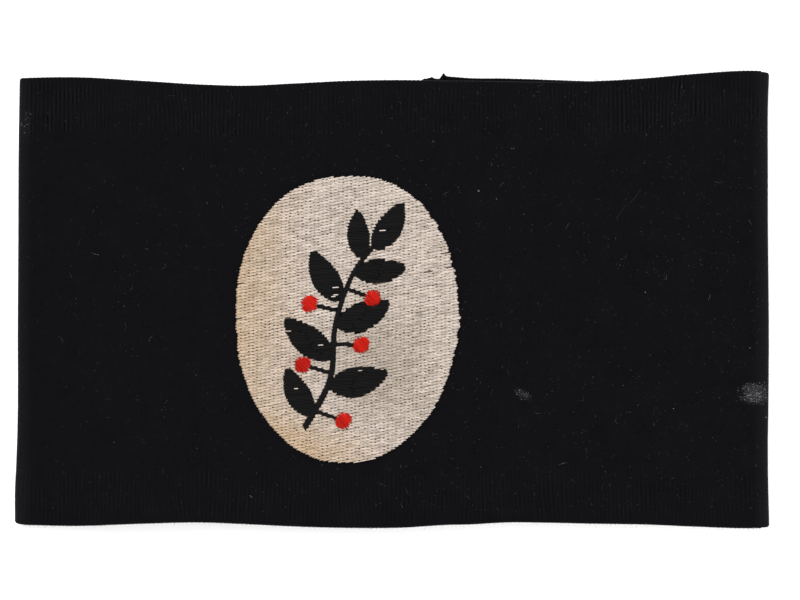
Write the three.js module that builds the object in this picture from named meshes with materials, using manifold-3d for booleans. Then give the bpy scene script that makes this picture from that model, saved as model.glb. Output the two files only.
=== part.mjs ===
import * as THREE from "three";
import Module from "manifold-3d";

// A knitted armband lying flat, in millimetres: one strip of knit, lapped and sewn at the back into a tube,
// with an oval embroidered badge on its front.
// X runs from fold to fold, Y along the arm and Z up. The origin is under the middle of the band's outline,
// on the surface that it lies on.

// The knitted strip
const bandLength = 186; // fold to fold, laid flat
const bandHeight = 112.7; // rim to rim, at the widest places
const fieldWall = 1.3; // plain knit
const borderWall = 1.7; // ribbed knit along both rims
const borderHeight = 13.5; // how far the ribbed knit reaches in from a rim
const borderBlend = 3; // over which it thins into the plain knit
const rimRound = 0.6; // the cast-off edge is rounded by this much
const foldGap = 0.8; // clear space inside a pressed fold, between two walls of ribbed knit
const shoulder = 30; // run from a fold to where the front layer is fully open
const rimRise = 4.4; // how far the front layer opens at the rims
const middleRise = 5.4; // and half way between them
const swellHeight = 0.8; // the highest swell in the front layer

// The lapped seam at the back
const seamAcross = 12.5; // where the upper end of the strip lies
const lapWidth = 9; // how far the two ends overlap
const lapGap = 0.3; // clearance between the sewn ends
const lapRamp = 6; // over which the upper end climbs onto the lower one
const cornerStandOut = 0.9; // the upper end's corner shows past the rim by this much
const cornerReach = 1.6; // over which that corner falls back to the rim

// The badge
const badgeWidth = 55.2;
const badgeHeight = 70.6;
const badgeAcross = -11.1; // its middle, from the band's middle
const badgeAlong = -4.8;
const badgeTilt = -0.9; // degrees, turned clockwise
const badgeThickness = 0.7;
const badgeEdge = 0.4; // thickness at its very edge
const badgeGap = 0.25; // clearance to the knit below
const fullness = 2.25; // its upper half is fuller than an ellipse, whose exponent is 2

// The sprig and the berries worked on the badge
const sprigGap = 0.25; // clearance to the badge below
const satinHeight = 0.55; // padded satin stitch, at the middle of a leaf
const satinEdge = 0.22; // and along its edges
const leafLength = badgeHeight * 0.21; // the longest leaf
const leafWidth = leafLength * 0.48;
const leafPoint = leafWidth * 0.07; // left at a leaf's point
const leafBow = 0.12; // how far a midrib bows, as a share of its leaf's length
const stemWidth = leafWidth * 0.24; // at the foot of the stem
const stemTipWidth = leafWidth * 0.14;
const stalkWidth = leafWidth * 0.13;
const berryDiameter = leafLength * 0.28;
const berryHeight = 0.9;
const berryGap = 0.3; // clearance round a berry, to the stalk that carries it

// How finely the round pieces are faceted
const badgeSegments = 56;
const berrySegments = 16;

const halfLength = bandLength / 2;
const halfHeight = bandHeight / 2;
const foldRadius = borderWall + foldGap / 2; // outside of the fold
const flatHalf = halfLength - foldRadius; // where the folds begin
const lapFoot = seamAcross - lapWidth; // where the lower end of the strip lies

// The rims, from fold to fold: how far they lie from the middle, as shares of half the band's height.
// The back layer shows past the front one only along the right half of the upper rim.
const rimOutline = [
  { across: -1.0, upper: 0.952, upperBack: 0.952, lower: 0.984, lowerBack: 0.984 },
  { across: -0.97, upper: 0.968, upperBack: 0.968, lower: 0.99, lowerBack: 0.99 },
  { across: -0.86, upper: 0.972, upperBack: 0.966, lower: 0.992, lowerBack: 0.986 },
  { across: -0.66, upper: 0.955, upperBack: 0.949, lower: 0.982, lowerBack: 0.976 },
  { across: -0.5, upper: 0.94, upperBack: 0.934, lower: 0.975, lowerBack: 0.968 },
  { across: -0.39, upper: 0.935, upperBack: 0.93, lower: 0.981, lowerBack: 0.972 },
  { across: -0.26, upper: 0.945, upperBack: 0.94, lower: 0.992, lowerBack: 0.982 },
  { across: -0.1, upper: 0.956, upperBack: 0.952, lower: 1.0, lowerBack: 0.99 },
  { across: 0.03, upper: 0.959, upperBack: 0.96, lower: 0.998, lowerBack: 0.988 },
  { across: 0.14, upper: 0.956, upperBack: 0.977, lower: 0.986, lowerBack: 0.98 },
  { across: 0.3, upper: 0.952, upperBack: 0.97, lower: 0.975, lowerBack: 0.97 },
  { across: 0.42, upper: 0.95, upperBack: 0.965, lower: 0.976, lowerBack: 0.97 },
  { across: 0.54, upper: 0.953, upperBack: 0.957, lower: 0.981, lowerBack: 0.974 },
  { across: 0.67, upper: 0.969, upperBack: 0.964, lower: 0.986, lowerBack: 0.98 },
  { across: 0.8, upper: 0.987, upperBack: 0.981, lower: 0.993, lowerBack: 0.988 },
  { across: 0.93, upper: 1.0, upperBack: 0.997, lower: 1.0, lowerBack: 0.997 },
  { across: 1.0, upper: 0.989, upperBack: 0.989, lower: 0.993, lowerBack: 0.993 },
];

// The two folds, from the lower rim to the upper: how far they lie out, as shares of half the band's length.
const foldOutline = [
  { along: -1.0, left: 1.0, right: 1.0 },
  { along: -0.85, left: 1.0, right: 0.998 },
  { along: -0.67, left: 0.995, right: 0.997 },
  { along: -0.5, left: 0.993, right: 0.998 },
  { along: -0.15, left: 0.993, right: 1.0 },
  { along: 0.3, left: 0.992, right: 0.998 },
  { along: 0.6, left: 0.991, right: 0.997 },
  { along: 0.9, left: 0.988, right: 0.998 },
  { along: 1.0, left: 0.987, right: 1.0 },
];

// Soft swells and dents of the front layer: their places and reach as shares of half the band's length and
// height, and their lift as a share of the highest one.
const swells = [
  { across: -0.42, along: 0.92, reach: 0.2, lift: 0.9 },
  { across: 0.5, along: 0.95, reach: 0.24, lift: 1.0 },
  { across: -0.55, along: -0.95, reach: 0.2, lift: 0.6 },
  { across: 0.36, along: -0.9, reach: 0.22, lift: 0.8 },
  { across: 0.02, along: 0.95, reach: 0.14, lift: -0.4 },
  { across: -0.1, along: -1.0, reach: 0.18, lift: -0.5 },
  { across: -0.78, along: 0.1, reach: 0.2, lift: -0.35 },
  { across: 0.72, along: -0.2, reach: 0.26, lift: 0.5 },
  { across: 0.35, along: 0.2, reach: 0.16, lift: -0.4 },
];

// The stem's bends, as shares of half the badge's width and height from its middle.
const stemBends = [
  { across: -0.36, along: -0.76 },
  { across: -0.14, along: -0.42 },
  { across: -0.1, along: -0.04 },
  { across: 0.04, along: 0.3 },
  { across: 0.22, along: 0.5 },
];

// The leaves, from the foot of the stem to its tip: their place along the stem, side, size as a share of the
// longest and widest, and the angle at which they leave the stem. The last one ends the stem.
const leaves = [
  { place: 0.08, side: -1, size: 0.86, angle: 60 },
  { place: 0.25, side: 1, size: 1.0, angle: 56 },
  { place: 0.4, side: -1, size: 1.0, angle: 54 },
  { place: 0.56, side: 1, size: 0.96, angle: 55 },
  { place: 0.69, side: -1, size: 0.94, angle: 50 },
  { place: 0.85, side: 1, size: 0.84, angle: 54 },
  { place: 0.93, side: -1, size: 0.78, angle: 46 },
  { place: 1.0, side: 1, size: 0.88, angle: -4 },
];

// The berries: where their stalk leaves the stem, its side, its length as a share of the longest leaf's, and
// the angle at which it leaves.
const berries = [
  { place: 0.1, side: 1, reach: 0.5, angle: 78 },
  { place: 0.31, side: -1, reach: 0.5, angle: 84 },
  { place: 0.46, side: 1, reach: 0.46, angle: 90 },
  { place: 0.63, side: -1, reach: 0.5, angle: 92 },
  { place: 0.75, side: 1, reach: 0.46, angle: 88 },
];

const wasm = await Module();
wasm.setup();

const smoothStep = (t) => THREE.MathUtils.smoothstep(t, 0, 1);

// A smooth curve through one column of a table, read at a place in its first column.
function curveThrough(table, placeColumn, column) {
  const places = table.map((row) => row[placeColumn]);
  const curve = new THREE.CubicInterpolant(places, table.map((row) => row[column]), 1);
  return (place) => {
    const inside = THREE.MathUtils.clamp(place, places[0], places[places.length - 1]);
    return curve.evaluate(inside)[0];
  };
}

const frontRims = {
  upper: curveThrough(rimOutline, "across", "upper"),
  lower: curveThrough(rimOutline, "across", "lower"),
};
const backRims = {
  upper: curveThrough(rimOutline, "across", "upperBack"),
  lower: curveThrough(rimOutline, "across", "lowerBack"),
};
const foldShare = {
  left: curveThrough(foldOutline, "along", "left"),
  right: curveThrough(foldOutline, "along", "right"),
};

// How much the folds pull a place in from the band's full length.
function sideShare(x, y) {
  return foldShare[x < 0 ? "left" : "right"](y / halfHeight);
}

function swellAt(x, y) {
  return swells.reduce((sum, swell) => {
    const dx = x - swell.across * halfLength;
    const dy = y - swell.along * halfHeight;
    const reach = swell.reach * halfLength;
    return sum + swell.lift * swellHeight * Math.exp(-(dx * dx + dy * dy) / (2 * reach * reach));
  }, 0);
}

// Height of the front layer's outer face. x is the place before the folds pull it in.
function frontHeight(x, y) {
  const open = smoothStep((flatHalf - Math.abs(x)) / shoulder);
  const belly = rimRise + (middleRise - rimRise) * (1 - (y / halfHeight) ** 2);
  return 2 * foldRadius + open * (belly + swellAt(x, y));
}

function frontHeightAt(x, y) {
  return frontHeight(x / sideShare(x, y), y);
}

// Wall thickness at a place from -1, the lower rim, to 1, the upper one.
function wallAt(along) {
  const fromRim = (1 - Math.abs(along)) * halfHeight;
  const plain = smoothStep((fromRim - borderHeight + borderBlend / 2) / borderBlend);
  return THREE.MathUtils.lerp(borderWall, fieldWall, plain);
}

// Triangles across a ring of points, zigzagging from its first point to the far side.
function acrossRing(count) {
  const faces = [];
  let low = 0;
  let high = count - 1;
  while (high - low > 1) {
    faces.push([low, low + 1, high]);
    low += 1;
    if (high - low > 1) {
      faces.push([low, high - 1, high]);
      high -= 1;
    }
  }
  return faces;
}

// A closed surface through equal rings of points, capped at both ends. Seen along the run of the rings, each
// one turns anticlockwise.
function sweptSolid(rings) {
  const count = rings[0].length;
  const positions = rings.flat().flatMap((p) => [p.x, p.y, p.z]);
  const index = [];
  for (let ring = 0; ring + 1 < rings.length; ring++) {
    for (let k = 0; k < count; k++) {
      const a = ring * count + k;
      const b = ring * count + ((k + 1) % count);
      index.push(a, b + count, b, a, a + count, b + count);
    }
  }
  const last = (rings.length - 1) * count;
  for (const [a, b, c] of acrossRing(count)) {
    index.push(a, b, c, last + a, last + c, last + b);
  }
  const geometry = new THREE.BufferGeometry();
  geometry.setAttribute("position", new THREE.Float32BufferAttribute(positions, 3));
  geometry.setIndex(index);
  return geometry;
}

// Evenly spread numbers from one value to another, both included.
function spread(from, to, steps) {
  return Array.from({ length: steps + 1 }, (_, k) => from + ((to - from) * k) / steps);
}

// The upper end of the strip lies on the lower one.
function upperEndLift(x, along) {
  const climb = smoothStep((x - (lapFoot - lapGap - lapRamp)) / lapRamp);
  return climb * (wallAt(along) + lapGap);
}

// The corner of the upper end shows past the upper rim.
function cornerPastRim(x) {
  return cornerStandOut * Math.exp((x - seamAcross) / cornerReach);
}

// The strip's stations, from its upper end at the back seam round both folds to its lower end. Each has its
// place before the folds pull it in, the rims that it runs to, and the height of its outer face.
function stripStations() {
  const lapStart = lapFoot - lapGap;
  const rampStart = lapStart - lapRamp;
  const lap = [...spread(seamAcross, lapStart, 4), ...spread(lapStart, rampStart, 4).slice(1)];
  const upperEnd = [...lap, ...spread(rampStart, -flatHalf, 11).slice(1, -1)];
  const lowerEnd = spread(flatHalf, lapFoot, 12).slice(1);
  const leftShoulder = spread(-flatHalf, shoulder - flatHalf, 7).slice(1);
  const rightShoulder = spread(flatHalf - shoulder, flatHalf, 7).slice(0, -1);
  const middle = spread(shoulder - flatHalf, flatHalf - shoulder, 22).slice(1, -1);
  const front = [...leftShoulder, ...middle, ...rightShoulder];
  const turn = spread(0, Math.PI, 8);
  const foldAcross = (angle) => flatHalf + foldRadius * Math.sin(angle);
  const foldHeight = (angle) => foldRadius * (1 - Math.cos(angle));
  const backStation = (x, height, past = 0) => ({ x, rims: backRims, height, past });
  return [
    ...upperEnd.map((x) => backStation(x, (y, along) => upperEndLift(x, along), cornerPastRim(x))),
    ...turn.map((angle) => backStation(-foldAcross(angle), () => foldHeight(angle))),
    ...front.map((x) => ({ x, rims: frontRims, height: (y) => frontHeight(x, y), past: 0 })),
    ...turn.map((angle) => backStation(foldAcross(angle), () => foldHeight(Math.PI - angle))),
    ...lowerEnd.map((x) => backStation(x, () => 0)),
  ];
}

// A point of the outer face at a station, and at a place from -1, the lower rim, to 1, the upper one.
function outerPoint({ x, rims, height, past }, along) {
  const upper = rims.upper(x / halfLength) * halfHeight + past;
  const lower = rims.lower(x / halfLength) * halfHeight;
  const y = THREE.MathUtils.lerp(-lower, upper, (along + 1) / 2);
  return new THREE.Vector3(x * sideShare(x, y), y, height(y, along));
}

// The direction into the tube, square to the strip in the plane of its section.
function inward(row, column) {
  const before = row[Math.max(column - 1, 0)];
  const after = row[Math.min(column + 1, row.length - 1)];
  const run = new THREE.Vector3().subVectors(after, before);
  return new THREE.Vector3(run.z, 0, -run.x).normalize();
}

// Rows of the strip's surface from rim to rim, closest where the ribbed knit thins.
function stripRows() {
  const rim = 1 - rimRound / halfHeight;
  const borderOuter = 1 - (borderHeight - borderBlend / 2) / halfHeight;
  const borderInner = 1 - (borderHeight + borderBlend / 2) / halfHeight;
  const upper = [borderOuter, (borderOuter + rim) / 2, rim];
  const field = spread(-borderInner, borderInner, 8);
  return [...upper.map((along) => -along).reverse(), ...field, ...upper];
}

function knittedStrip() {
  const rows = stripRows();
  const stations = stripStations();
  const outer = rows.map((along) => stations.map((station) => outerPoint(station, along)));
  const inner = outer.map((row, i) =>
    row.map((point, j) => point.clone().addScaledVector(inward(row, j), wallAt(rows[i]))),
  );
  // The rounded rim's outermost point, half way through the wall.
  const nose = (column, row, along) => {
    const middle = outer[row][column].clone().lerp(inner[row][column], 0.5);
    return middle.setY(outerPoint(stations[column], along).y);
  };
  return sweptSolid(
    stations.map((_, j) => [
      nose(j, 0, -1),
      ...outer.map((row) => row[j]),
      nose(j, rows.length - 1, 1),
      ...inner.map((row) => row[j]).reverse(),
    ]),
  );
}

// The badge's edge at an angle from its middle, before it is tilted.
function badgeEdgeAt(angle) {
  const power = Math.sin(angle) > 0 ? fullness : 2;
  const cos = Math.abs(Math.cos(angle));
  const sin = Math.abs(Math.sin(angle));
  const radius = (cos ** power + sin ** power) ** (-1 / power);
  return new THREE.Vector2(
    (badgeWidth / 2) * radius * Math.cos(angle),
    (badgeHeight / 2) * radius * Math.sin(angle),
  );
}

// Moves a point of the badge's own plane to its place on the band.
function badgePlace(x, y) {
  const tilt = THREE.MathUtils.degToRad(badgeTilt);
  return new THREE.Vector2(
    badgeAcross + x * Math.cos(tilt) - y * Math.sin(tilt),
    badgeAlong + x * Math.sin(tilt) + y * Math.cos(tilt),
  );
}

// Lays a flat geometry made in the badge's plane on the front layer, lifted by a given height.
function drapeOnFront(geometry, lift) {
  const position = geometry.getAttribute("position");
  for (let k = 0; k < position.count; k++) {
    const place = badgePlace(position.getX(k), position.getY(k));
    const z = frontHeightAt(place.x, place.y) + lift + position.getZ(k);
    position.setXYZ(k, place.x, place.y, z);
  }
  return geometry;
}

// A thin oval pad, from a turned disc whose radii are shares of the badge's own.
function badgePad() {
  const shares = [0, 0.25, 0.5, 0.75, 0.94, 1];
  const under = shares.map((share) => new THREE.Vector2(share, 0));
  const over = shares.map((share) => new THREE.Vector2(share, share < 1 ? badgeThickness : badgeEdge));
  const pad = new THREE.LatheGeometry([...under, ...over.reverse()], badgeSegments);
  pad.rotateX(Math.PI / 2);
  const position = pad.getAttribute("position");
  for (let k = 0; k < position.count; k++) {
    const [x, y] = [position.getX(k), position.getY(k)];
    const place = badgeEdgeAt(Math.atan2(y, x)).multiplyScalar(Math.hypot(x, y));
    position.setXY(k, place.x, place.y);
  }
  return drapeOnFront(pad, badgeGap);
}

// Half the section of a column of padded satin stitch: its corners, as shares of the half width and heights.
const satinSection = [
  { side: 1, height: 0 },
  { side: 1, height: satinEdge },
  { side: 0.5, height: satinHeight },
];

// A column of padded satin stitch along a flat curve: domed over its width, with a flat underside.
function satinColumn(curve, halfWidthAt, steps) {
  const rightHalf = satinSection.map(({ side, height }) => ({ side: -side, height }));
  const section = [...rightHalf, ...satinSection.toReversed()];
  const rings = spread(0, 1, steps).map((t) => {
    const middle = curve.getPoint(t);
    const tangent = curve.getTangent(t);
    const left = new THREE.Vector2(-tangent.y, tangent.x).multiplyScalar(halfWidthAt(t));
    return section.map(({ side, height }) => {
      const place = middle.clone().addScaledVector(left, side);
      return new THREE.Vector3(place.x, place.y, height);
    });
  });
  return sweptSolid(rings);
}

function stemCurve() {
  const bends = stemBends.map(
    (bend) => new THREE.Vector2((bend.across * badgeWidth) / 2, (bend.along * badgeHeight) / 2),
  );
  return new THREE.SplineCurve(bends);
}

// A direction that leaves the stem at a place, on a side and at an angle in degrees.
function offStem(stem, { place, side, angle }) {
  const turn = -side * THREE.MathUtils.degToRad(angle);
  return stem.getTangentAt(place).rotateAround(new THREE.Vector2(), turn);
}

function leafColumn(stem, leaf) {
  const length = leaf.size * leafLength;
  const direction = offStem(stem, leaf);
  const foot = stem.getPointAt(leaf.place);
  const tip = foot.clone().addScaledVector(direction, length);
  const bow = new THREE.Vector2(-direction.y, direction.x).multiplyScalar(leaf.side * leafBow * length);
  const midrib = new THREE.QuadraticBezierCurve(foot, foot.clone().lerp(tip, 0.5).sub(bow), tip);
  const swell = (leaf.size * leafWidth) / 2 - leafPoint;
  const halfWidthAt = (t) => leafPoint + swell * Math.abs(Math.sin(Math.PI * t ** 0.85)) ** 0.8;
  return satinColumn(midrib, halfWidthAt, 10);
}

// Where a berry's middle lies, in the badge's plane.
function berryCentre(stem, berry) {
  return stem.getPointAt(berry.place).addScaledVector(offStem(stem, berry), berry.reach * leafLength);
}

function stalkColumn(stem, berry) {
  const stalk = new THREE.LineCurve(stem.getPointAt(berry.place), berryCentre(stem, berry));
  return satinColumn(stalk, () => stalkWidth / 2, 2);
}

// The room that a berry takes out of the sprig.
function berryClearance(stem, berry) {
  const centre = berryCentre(stem, berry);
  const radius = berryDiameter / 2 + berryGap;
  const room = wasm.Manifold.cylinder(3 * satinHeight, radius, radius, berrySegments);
  return room.translate(centre.x, centre.y, -satinHeight);
}

function solidOf(geometry) {
  return new wasm.Manifold(
    new wasm.Mesh({
      numProp: 3,
      vertProperties: new Float32Array(geometry.getAttribute("position").array),
      triVerts: new Uint32Array(geometry.index.array),
    }),
  );
}

function geometryOf(solid) {
  const mesh = solid.getMesh();
  const geometry = new THREE.BufferGeometry();
  geometry.setAttribute("position", new THREE.Float32BufferAttribute(mesh.vertProperties, 3));
  geometry.setIndex(new THREE.BufferAttribute(mesh.triVerts, 1));
  return geometry;
}

// Stem, stalks and leaves, fused where they meet, with room for the berries.
function sprig() {
  const stem = stemCurve();
  const stemHalfWidth = (t) => THREE.MathUtils.lerp(stemWidth, stemTipWidth, t) / 2;
  const columns = [
    satinColumn(stem, stemHalfWidth, 16),
    ...leaves.map((leaf) => leafColumn(stem, leaf)),
    ...berries.map((berry) => stalkColumn(stem, berry)),
  ];
  const fused = columns.map(solidOf).reduce((whole, column) => whole.add(column));
  const cleared = berries.reduce((whole, berry) => whole.subtract(berryClearance(stem, berry)), fused);
  return drapeOnFront(geometryOf(cleared), badgeGap + badgeThickness + sprigGap);
}

// A low dome.
function berryDome(centre) {
  const profile = spread(0, Math.PI / 2, 3).map(
    (angle) => new THREE.Vector2((berryDiameter / 2) * Math.cos(angle), berryHeight * Math.sin(angle)),
  );
  profile[profile.length - 1].x = 0;
  const dome = new THREE.LatheGeometry([new THREE.Vector2(0, 0), ...profile], berrySegments);
  dome.rotateX(Math.PI / 2);
  dome.translate(centre.x, centre.y, 0);
  return drapeOnFront(dome, badgeGap + badgeThickness + sprigGap);
}

const blackKnit = new THREE.MeshStandardMaterial({ color: 0x141416, roughness: 0.95, metalness: 0 });
const creamThread = new THREE.MeshStandardMaterial({ color: 0xcdc0b0, roughness: 0.7, metalness: 0 });
const blackThread = new THREE.MeshStandardMaterial({ color: 0x16161a, roughness: 0.6, metalness: 0 });
const redThread = new THREE.MeshStandardMaterial({ color: 0xc8281c, roughness: 0.6, metalness: 0 });

function named(name, geometry, material) {
  const mesh = new THREE.Mesh(geometry, material);
  mesh.name = name;
  return mesh;
}

const armband = new THREE.Group();
armband.add(named("band", knittedStrip(), blackKnit));

const badge = new THREE.Group();
badge.add(named("badge", badgePad(), creamThread));
badge.add(named("sprig", sprig(), blackThread));
berries.forEach((berry, k) => {
  badge.add(named(`berry_${k + 1}`, berryDome(berryCentre(stemCurve(), berry)), redThread));
});
armband.add(badge);

export default armband;
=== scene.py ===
import math
import bmesh
import bpy
import numpy as np
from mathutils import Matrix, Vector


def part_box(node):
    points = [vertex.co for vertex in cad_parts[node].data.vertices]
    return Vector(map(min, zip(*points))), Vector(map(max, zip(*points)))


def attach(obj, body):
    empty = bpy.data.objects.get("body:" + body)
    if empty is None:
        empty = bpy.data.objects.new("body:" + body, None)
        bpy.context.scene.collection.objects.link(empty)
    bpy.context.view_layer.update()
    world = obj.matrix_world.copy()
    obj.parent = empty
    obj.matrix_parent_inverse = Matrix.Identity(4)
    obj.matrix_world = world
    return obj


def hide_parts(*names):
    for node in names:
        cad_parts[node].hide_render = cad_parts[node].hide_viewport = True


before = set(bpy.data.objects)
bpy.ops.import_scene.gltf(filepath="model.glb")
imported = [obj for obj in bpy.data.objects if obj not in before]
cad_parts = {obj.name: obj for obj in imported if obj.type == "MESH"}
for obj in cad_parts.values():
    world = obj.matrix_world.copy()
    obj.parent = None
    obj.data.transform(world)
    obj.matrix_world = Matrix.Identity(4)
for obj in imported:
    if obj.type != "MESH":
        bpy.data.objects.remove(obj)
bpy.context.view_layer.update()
mm = 0.001  # lengths are in millimetres until a mesh is made
chance = np.random.default_rng(11)
print("frame loaded:", len(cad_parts), "nodes")


# Camera, floor and light

studio = {
    "lens": 200,
    "viewWidth": 197.3,  # what the picture takes in across, at the height of the aim
    "aim": (1.94, -0.12, 3.6),
    "nearest": 10,
    "floorHalf": 3000,
    "floorShade": 0.97,
    "roomLight": 1.0,
}
lamps = {
    "key": {"power": 12.0, "place": (-420, 520, 900), "size": 700},
    "fill": {"power": 6.0, "place": (620, -300, 700), "size": 800},
}


def inScene(name, data):
    thing = bpy.data.objects.new(name, data)
    bpy.context.scene.collection.objects.link(thing)
    return thing


def finishedPiece(name, bm):
    mesh = bpy.data.meshes.new(name)
    bm.to_mesh(mesh)
    bm.free()
    mesh.shade_smooth()
    return inScene(name, mesh)


def makeCamera():
    data = bpy.data.cameras.new("camera")
    data.lens = studio["lens"]
    data.clip_start = studio["nearest"] * mm
    away = studio["viewWidth"] * data.lens / data.sensor_width
    across, along, height = studio["aim"]
    camera = inScene("camera", data)
    camera.location = (across * mm, along * mm, (height + away) * mm)
    bpy.context.scene.camera = camera


def makeLamp(name, lamp):
    data = bpy.data.lights.new(name, "AREA")
    data.shape = "DISK"
    data.size = lamp["size"] * mm
    data.energy = lamp["power"]
    placed = inScene(name, data)
    placed.location = [c * mm for c in lamp["place"]]
    placed.rotation_euler = placed.location.to_track_quat("Z", "Y").to_euler()


def makeStudio():
    makeCamera()
    for name, lamp in lamps.items():
        makeLamp(name, lamp)
    room = bpy.data.worlds.new("room")
    room.use_nodes = True
    setInputs(room.node_tree.nodes["Background"], {"Strength": studio["roomLight"], "Color": (1, 1, 1, 1)})
    bpy.context.scene.world = room
    bpy.context.scene.view_settings.view_transform = "Standard"
    bm = bmesh.new()
    bmesh.ops.create_grid(bm, x_segments=1, y_segments=1, size=studio["floorHalf"] * mm)
    floor = finishedPiece("floor", bm)
    paint, _, shader = newMaterial("pale_floor")
    setInputs(shader, {"Base Color": (*[studio["floorShade"]] * 3, 1), **dull})
    floor.data.materials.append(paint)


# The band's form, from the same sizes as its solid

def sizeAndMiddle(node):
    low, high = np.array(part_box(node)) / mm
    return high - low, (low + high) / 2


halfLength, halfHeight = sizeAndMiddle("band")[0][:2] / 2
band = {
    "fieldWall": 1.3,
    "borderWall": 1.7,
    "borderHeight": 13.5,
    "borderBlend": 3.0,
    "rimRound": 0.6,
    "foldGap": 0.8,
    "shoulder": 30.0,
    "rimRise": 4.4,
    "middleRise": 5.4,
    "swellHeight": 0.8,
    "rippleHeight": 0.07,
    "seamAcross": 12.5,
    "lapWidth": 9.0,
    "lapGap": 0.3,
    "lapRamp": 6.0,
    "underShows": (11.4, 1.2),  # from where its under end follows its own rim, and over what length
}
foldRadius = band["borderWall"] + band["foldGap"] / 2
flatHalf = halfLength - foldRadius
lapFoot = band["seamAcross"] - band["lapWidth"]

# the rims, from the left fold, -1, to the right: how far out they lie, as shares of half the band's height
rimOutline = {
    "place": [-1, -0.97, -0.93, -0.86, -0.66, -0.5, -0.39, -0.26, -0.1, 0.03,
              0.14, 0.21, 0.3, 0.42, 0.54, 0.67, 0.8, 0.93, 0.965, 1],
    "upper": [0.9705, 0.971, 0.9725, 0.9722, 0.9525, 0.9365, 0.932, 0.942, 0.9545, 0.957,
              0.954, 0.953, 0.9505, 0.9475, 0.952, 0.9642, 0.985, 1.001, 1.0015, 0.9985],
    "upperBack": [0.9705, 0.97, 0.967, 0.964, 0.946, 0.93, 0.927, 0.937, 0.95, 0.958,
                  0.977, 0.97, 0.9685, 0.9625, 0.956, 0.959, 0.979, 0.998, 0.998, 0.995],
    "lower": [0.982, 0.9865, 0.9885, 0.99, 0.9775, 0.972, 0.979, 0.9895, 0.9965, 0.9945,
              0.983, 0.98, 0.9715, 0.973, 0.9775, 0.981, 0.9917, 1.001, 1.001, 1],
    "lowerBack": [0.982, 0.9855, 0.984, 0.984, 0.971, 0.965, 0.97, 0.9795, 0.9865, 0.9845,
                  0.977, 0.973, 0.9665, 0.967, 0.971, 0.976, 0.987, 0.9985, 0.9985, 0.9975],
}
# the folds, from the lower rim, -1, to the upper: how far out they lie, as shares of half its length
foldOutline = {
    "place": [-1, -0.85, -0.67, -0.5, -0.15, 0.3, 0.6, 0.9, 1],
    "left": [1.0018, 1.002, 0.997, 0.9945, 0.9945, 0.993, 0.9925, 0.99, 0.989],
    "right": [1.0016, 0.9993, 0.9975, 0.999, 1.0005, 0.998, 0.9977, 0.9988, 1.0015],
}
# how far the upper rim of each lapped end stands out above the front one near the seam
lapEdges = {
    "place": [6.7, 7.9, 8.8, 9.7, 10.4, 11.3, 11.8, 12.2, 12.5, 12.8, 13.2, 14.2],
    "top": [0, 0.64, 0.74, 1.08, 0.78, 0.62, 0.8, 1.45, 2.08, 2.08, 2.08, 2.08],
    "under": [0, 0, 0, 0, 0, 0, 0.1, 0.4, 0.8, 0.98, 0.24, 0.08],
}
# soft swells of the front layer: place and reach as shares of the half length and height, and lift
swells = {
    "across": [-0.42, 0.5, -0.55, 0.36, 0.02, -0.1, -0.78, 0.72, 0.35],
    "along": [0.92, 0.95, -0.95, -0.9, 0.95, -1.0, 0.1, -0.2, 0.2],
    "reach": [0.2, 0.24, 0.2, 0.22, 0.14, 0.18, 0.2, 0.26, 0.16],
    "lift": [0.9, 1.0, 0.6, 0.8, -0.4, -0.5, -0.35, 0.5, -0.4],
}


def smoothStep(t):
    t = np.clip(t, 0, 1)
    return t * t * (3 - 2 * t)


def jitter(spread, size=None):
    return chance.normal(0, spread, size)


def stacked(*columns):
    return np.stack(np.broadcast_arrays(*columns), axis=-1)


def unit(vectors):
    return vectors / np.linalg.norm(vectors, axis=-1, keepdims=True)


def curveThrough(table, column, at):
    places, values = np.array(table["place"]), np.array(table[column])
    slopes = np.gradient(values, places)
    at = np.clip(at, places[0], places[-1])
    k = np.clip(np.searchsorted(places, at) - 1, 0, len(places) - 2)
    gap = places[k + 1] - places[k]
    t = (at - places[k]) / gap
    start = (2 * t**3 - 3 * t**2 + 1) * values[k] + (t**3 - 2 * t**2 + t) * gap * slopes[k]
    end = (3 * t**2 - 2 * t**3) * values[k + 1] + (t**3 - t**2) * gap * slopes[k + 1]
    return start + end


def sideShare(x, y):
    left, right = (curveThrough(foldOutline, side, y / halfHeight) for side in ("left", "right"))
    return np.where(x < 0, left, right)


def ripple(x, y):
    # small unevenness of cloth that has been folded and pressed
    return (
        np.sin(x / 3.1 + 1.3 * np.sin(y / 7.4))
        + np.sin(y / 3.7 + 1.7 * np.sin(x / 6.1))
        + np.sin((x + 0.6 * y) / 5.3)
    ) / 3


def frontHeight(x, y):
    # x is the place before the folds pull it in
    rise = band["rimRise"] + (band["middleRise"] - band["rimRise"]) * (1 - (y / halfHeight) ** 2)
    for across, along, reach, lift in zip(*swells.values()):
        away = (x - across * halfLength) ** 2 + (y - along * halfHeight) ** 2
        rise = rise + lift * band["swellHeight"] * np.exp(-away / (2 * (reach * halfLength) ** 2))
    opened = smoothStep((flatHalf - np.abs(x)) / band["shoulder"])
    return 2 * foldRadius + opened * (rise + band["rippleHeight"] * ripple(x, y))


def clothTop(x, y):
    # the front of the band and the upper half of its folds
    placed = x / sideShare(x, y)
    past = np.clip(np.abs(placed) - flatHalf, 0, 0.98 * foldRadius)
    return np.where(past > 0, foldRadius + np.sqrt(foldRadius**2 - past**2), frontHeight(placed, y))


def raised(flat, lift):
    x, y = flat[..., 0], flat[..., 1]
    return stacked(x, y, clothTop(x, y) + lift)


def wallAt(along):
    fromRim = (1 - np.abs(along)) * halfHeight
    plain = smoothStep((fromRim - band["borderHeight"] + band["borderBlend"] / 2) / band["borderBlend"])
    return band["borderWall"] + (band["fieldWall"] - band["borderWall"]) * plain


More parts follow.
